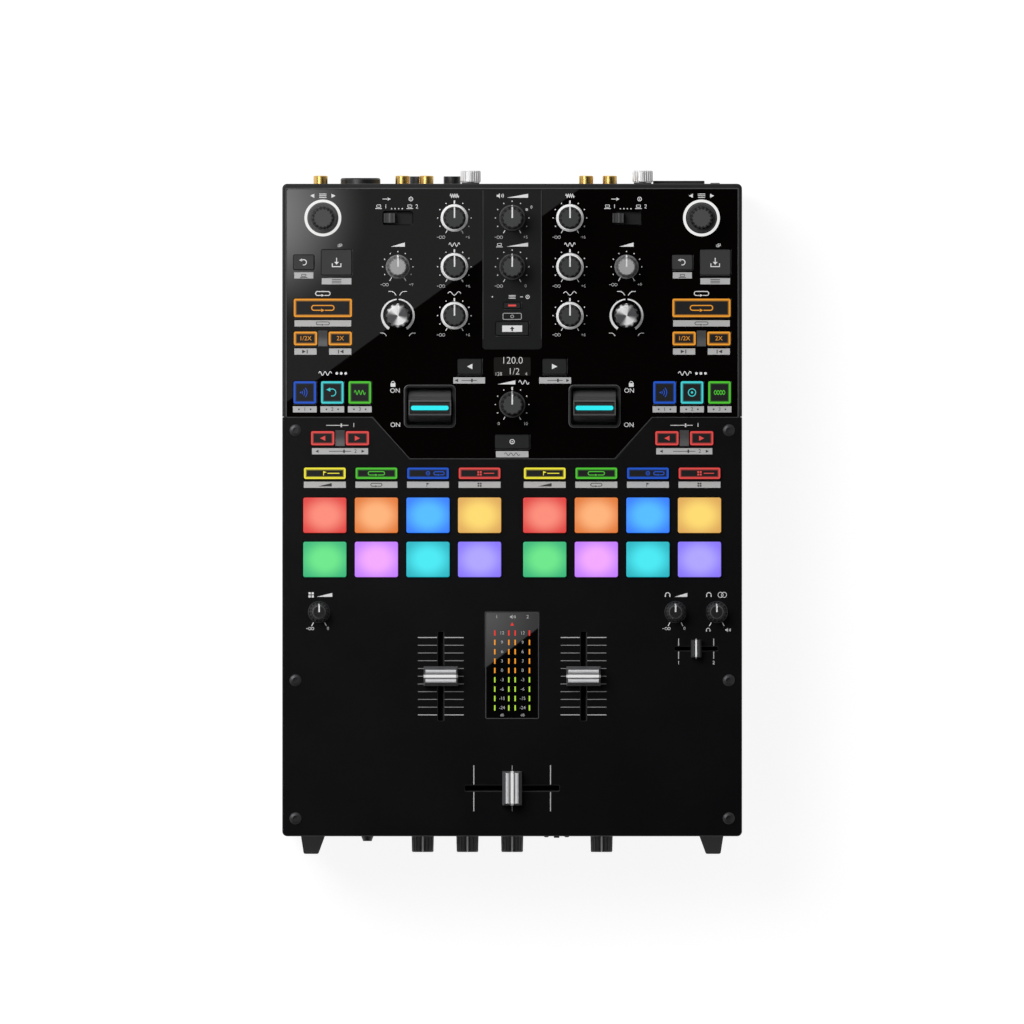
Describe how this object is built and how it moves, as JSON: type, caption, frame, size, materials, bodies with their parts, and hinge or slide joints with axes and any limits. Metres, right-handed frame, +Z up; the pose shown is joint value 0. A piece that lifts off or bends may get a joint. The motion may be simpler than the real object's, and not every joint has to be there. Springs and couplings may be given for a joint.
{
  "type": "dj mixer",
  "caption": "Two-channel performance DJ mixer: flat black case with lit pads and keys, tone knobs, effect paddles, channel faders, a crossfader and rear audio sockets.",
  "frame": {"origin": "on the table, under the middle of the outline", "axes": "+X to the user's right, +Y to the rear where the sockets are, +Z up"},
  "size_m": [0.2674, 0.3976, 0.1077],
  "materials": {
    "board_green": "coated circuit board",
    "bright_steel": "nickel plated",
    "cap_silver": "silver grey fader cap",
    "case_paint": "fine black powder coat",
    "control_metal": "plated steel",
    "foot_rubber": "matt rubber",
    "gloss_black": "polished black",
    "gold": "gold plated",
    "key_black": "black key cap",
    "knob_black": "soft black knob",
    "knob_metal": "turned metal",
    "matte_black": "satin black",
    "moulded_black": "black moulded plastic",
    "pad_silicone": "milky silicone lit from below",
    "plate_black": "satin black anodised plate",
    "screw_black": "blackened steel",
    "socket_black": "black socket moulding",
    "supply_grey": "mill finish",
    "window_black": "smoked window"
  },
  "bodies": {
    "case": {"chassis_tray": "case_paint", "rear_panel": "case_paint", "top_cover": "moulded_black", "upper_panel": "gloss_black", "centre_panel": "matte_black", "fader_plate": "plate_black", "case_screws": "screw_black", "rubber_feet": "foot_rubber", "knob_guards": "moulded_black", "paddle_bezels": "moulded_black", "display_module": "window_black", "level_meter": "window_black", "control_board": "board_green", "main_board": "board_green", "power_supply": "supply_grey", "potentiometers": "control_metal", "slide_units": "control_metal", "rca_jacks": "gold", "xlr_sockets": "socket_black", "phone_jacks": "socket_black", "usb_ports": "bright_steel", "ac_inlet": "socket_black"},
    "crossfader": {"crossfader": "cap_silver"},
    "channel_fader_1": {"channel_fader_1": "cap_silver"},
    "channel_fader_2": {"channel_fader_2": "cap_silver"},
    "effect_paddle_1": {"effect_paddle_1": "knob_black"},
    "effect_paddle_2": {"effect_paddle_2": "knob_black"},
    "pads_1": {"pads_1": "pad_silicone"},
    "pads_2": {"pads_2": "pad_silicone"},
    "deck_keys_1": {"deck_keys_1": "key_black"},
    "deck_keys_2": {"deck_keys_2": "key_black"},
    "centre_keys": {"centre_keys": "key_black"},
    "cue_fader": {"cue_fader": "knob_black"},
    "input_switch_1": {"input_switch_1": "knob_black"},
    "input_switch_2": {"input_switch_2": "knob_black"},
    "reverse_switch": {"reverse_switch": "knob_black"},
    "power_switch": {"power_switch": "knob_black"},
    "ground_nuts": {"ground_nuts": "bright_steel"},
    "booth_level_knob": {"booth_level_knob": "knob_black"},
    "effect_depth_knob": {"effect_depth_knob": "knob_black"},
    "filter_knob_1": {"filter_knob_1": "knob_metal"},
    "filter_knob_2": {"filter_knob_2": "knob_metal"},
    "headphone_level_knob": {"headphone_level_knob": "knob_black"},
    "headphone_mix_knob": {"headphone_mix_knob": "knob_black"},
    "high_eq_knob_1": {"high_eq_knob_1": "knob_black"},
    "high_eq_knob_2": {"high_eq_knob_2": "knob_black"},
    "low_eq_knob_1": {"low_eq_knob_1": "knob_black"},
    "low_eq_knob_2": {"low_eq_knob_2": "knob_black"},
    "master_level_knob": {"master_level_knob": "knob_black"},
    "mid_eq_knob_1": {"mid_eq_knob_1": "knob_black"},
    "mid_eq_knob_2": {"mid_eq_knob_2": "knob_black"},
    "sampler_level_knob": {"sampler_level_knob": "knob_black"},
    "trim_knob_1": {"trim_knob_1": "knob_black"},
    "trim_knob_2": {"trim_knob_2": "knob_black"},
    "browse_knob_1": {"browse_knob_1": "knob_black"},
    "browse_knob_2": {"browse_knob_2": "knob_black"},
    "front_knob_1": {"front_knob_1": "knob_black"},
    "front_knob_2": {"front_knob_2": "knob_black"},
    "front_knob_3": {"front_knob_3": "knob_black"},
    "front_knob_4": {"front_knob_4": "knob_black"}
  },
  "joints": [
    {"name": "crossfader_slide", "type": "slide", "parent": "case", "child": "crossfader", "axis": [1, 0, 0], "range_m": [-0.0225, 0.0225]},
    {"name": "channel_1_fader_slide", "type": "slide", "parent": "case", "child": "channel_fader_1", "axis": [0, 1, 0], "range_m": [-0.0225, 0.0225]},
    {"name": "channel_2_fader_slide", "type": "slide", "parent": "case", "child": "channel_fader_2", "axis": [0, 1, 0], "range_m": [-0.0225, 0.0225]},
    {"name": "effect_paddle_1_swing", "type": "hinge", "parent": "case", "child": "effect_paddle_1", "pos_m": [-0.0479, 0.0616, 0.08], "axis": [1, 0, 0], "range_deg": [-15, 15], "stiffness_Nm_per_rad": 0.08},
    {"name": "effect_paddle_2_swing", "type": "hinge", "parent": "case", "child": "effect_paddle_2", "pos_m": [0.0479, 0.0616, 0.08], "axis": [1, 0, 0], "range_deg": [-15, 15], "stiffness_Nm_per_rad": 0.08},
    {"name": "pads_1_press", "type": "slide", "parent": "case", "child": "pads_1", "axis": [0, 0, 1], "range_m": [-0.0008, 0], "stiffness_N_per_m": 2500, "springref_m": 0.0002},
    {"name": "pads_2_press", "type": "slide", "parent": "case", "child": "pads_2", "axis": [0, 0, 1], "range_m": [-0.0008, 0], "stiffness_N_per_m": 2500, "springref_m": 0.0002},
    {"name": "deck_keys_1_press", "type": "slide", "parent": "case", "child": "deck_keys_1", "axis": [0, 0, 1], "range_m": [-0.0008, 0], "stiffness_N_per_m": 2500, "springref_m": 0.0002},
    {"name": "deck_keys_2_press", "type": "slide", "parent": "case", "child": "deck_keys_2", "axis": [0, 0, 1], "range_m": [-0.0008, 0], "stiffness_N_per_m": 2500, "springref_m": 0.0002},
    {"name": "centre_keys_press", "type": "slide", "parent": "case", "child": "centre_keys", "axis": [0, 0, 1], "range_m": [-0.0008, 0], "stiffness_N_per_m": 2500, "springref_m": 0.0002},
    {"name": "cue_fader_slide", "type": "slide", "parent": "case", "child": "cue_fader", "axis": [1, 0, 0], "range_m": [-0.01, 0.01]},
    {"name": "input_switch_1_slide", "type": "slide", "parent": "case", "child": "input_switch_1", "axis": [1, 0, 0], "range_m": [0, 0.0098]},
    {"name": "input_switch_2_slide", "type": "slide", "parent": "case", "child": "input_switch_2", "axis": [1, 0, 0], "range_m": [0, 0.0098]},
    {"name": "reverse_switch_slide", "type": "slide", "parent": "case", "child": "reverse_switch", "axis": [1, 0, 0], "range_m": [-0.0015, 0.0015]},
    {"name": "power_switch_rock", "type": "hinge", "parent": "case", "child": "power_switch", "pos_m": [0.118, 0.187, 0.036], "axis": [1, 0, 0], "range_deg": [-12, 0]},
    {"name": "ground_nuts_unscrew", "type": "slide", "parent": "case", "child": "ground_nuts", "axis": [0, 1, 0], "range_m": [0, 0.003]},
    {"name": "booth_level_knob_turn", "type": "hinge", "parent": "case", "child": "booth_level_knob", "pos_m": [0, 0.1427, 0.0896], "axis": [0, 0, 1], "range_deg": [-150, 150]},
    {"name": "effect_depth_knob_turn", "type": "hinge", "parent": "case", "child": "effect_depth_knob", "pos_m": [0, 0.0626, 0.0898], "axis": [0, 0, 1], "range_deg": [-150, 150]},
    {"name": "filter_knob_1_turn", "type": "hinge", "parent": "case", "child": "filter_knob_1", "pos_m": [-0.0665, 0.1143, 0.0898], "axis": [0, 0, 1], "range_deg": [-150, 150]},
    {"name": "filter_knob_2_turn", "type": "hinge", "parent": "case", "child": "filter_knob_2", "pos_m": [0.0665, 0.1143, 0.0898], "axis": [0, 0, 1], "range_deg": [-150, 150]},
    {"name": "headphone_level_knob_turn", "type": "hinge", "parent": "case", "child": "headphone_level_knob", "pos_m": [0.095, -0.0581, 0.09], "axis": [0, 0, 1], "range_deg": [-150, 150]},
    {"name": "headphone_mix_knob_turn", "type": "hinge", "parent": "case", "child": "headphone_mix_knob", "pos_m": [0.119, -0.0581, 0.09], "axis": [0, 0, 1], "range_deg": [-150, 150]},
    {"name": "high_eq_knob_1_turn", "type": "hinge", "parent": "case", "child": "high_eq_knob_1", "pos_m": [-0.0336, 0.1711, 0.0898], "axis": [0, 0, 1], "range_deg": [-150, 150]},
    {"name": "high_eq_knob_2_turn", "type": "hinge", "parent": "case", "child": "high_eq_knob_2", "pos_m": [0.0336, 0.1711, 0.0898], "axis": [0, 0, 1], "range_deg": [-150, 150]},
    {"name": "low_eq_knob_1_turn", "type": "hinge", "parent": "case", "child": "low_eq_knob_1", "pos_m": [-0.0336, 0.1143, 0.0898], "axis": [0, 0, 1], "range_deg": [-150, 150]},
    {"name": "low_eq_knob_2_turn", "type": "hinge", "parent": "case", "child": "low_eq_knob_2", "pos_m": [0.0336, 0.1143, 0.0898], "axis": [0, 0, 1], "range_deg": [-150, 150]},
    {"name": "master_level_knob_turn", "type": "hinge", "parent": "case", "child": "master_level_knob", "pos_m": [0, 0.1711, 0.0896], "axis": [0, 0, 1], "range_deg": [-150, 150]},
    {"name": "mid_eq_knob_1_turn", "type": "hinge", "parent": "case", "child": "mid_eq_knob_1", "pos_m": [-0.0336, 0.1427, 0.0898], "axis": [0, 0, 1], "range_deg": [-150, 150]},
    {"name": "mid_eq_knob_2_turn", "type": "hinge", "parent": "case", "child": "mid_eq_knob_2", "pos_m": [0.0336, 0.1427, 0.0898], "axis": [0, 0, 1], "range_deg": [-150, 150]},
    {"name": "sampler_level_knob_turn", "type": "hinge", "parent": "case", "child": "sampler_level_knob", "pos_m": [-0.1123, -0.0581, 0.09], "axis": [0, 0, 1], "range_deg": [-150, 150]},
    {"name": "trim_knob_1_turn", "type": "hinge", "parent": "case", "child": "trim_knob_1", "pos_m": [-0.0665, 0.1427, 0.0898], "axis": [0, 0, 1], "range_deg": [-150, 150]},
    {"name": "trim_knob_2_turn", "type": "hinge", "parent": "case", "child": "trim_knob_2", "pos_m": [0.0665, 0.1427, 0.0898], "axis": [0, 0, 1], "range_deg": [-150, 150]},
    {"name": "browse_knob_1_turn", "type": "hinge", "parent": "case", "child": "browse_knob_1", "pos_m": [-0.1101, 0.1711, 0.0898], "axis": [0, 0, 1], "continuous": true},
    {"name": "browse_knob_2_turn", "type": "hinge", "parent": "case", "child": "browse_knob_2", "pos_m": [0.1101, 0.1711, 0.0898], "axis": [0, 0, 1], "continuous": true},
    {"name": "front_knob_1_turn", "type": "hinge", "parent": "case", "child": "front_knob_1", "pos_m": [-0.052, -0.1873, 0.05], "axis": [0, 1, 0], "range_deg": [-150, 150]},
    {"name": "front_knob_2_turn", "type": "hinge", "parent": "case", "child": "front_knob_2", "pos_m": [-0.026, -0.1873, 0.05], "axis": [0, 1, 0], "range_deg": [-150, 150]},
    {"name": "front_knob_3_turn", "type": "hinge", "parent": "case", "child": "front_knob_3", "pos_m": [0, -0.1873, 0.05], "axis": [0, 1, 0], "range_deg": [-150, 150]},
    {"name": "front_knob_4_turn", "type": "hinge", "parent": "case", "child": "front_knob_4", "pos_m": [0.052, -0.1873, 0.05], "axis": [0, 1, 0], "range_deg": [-150, 150]}
  ]
}
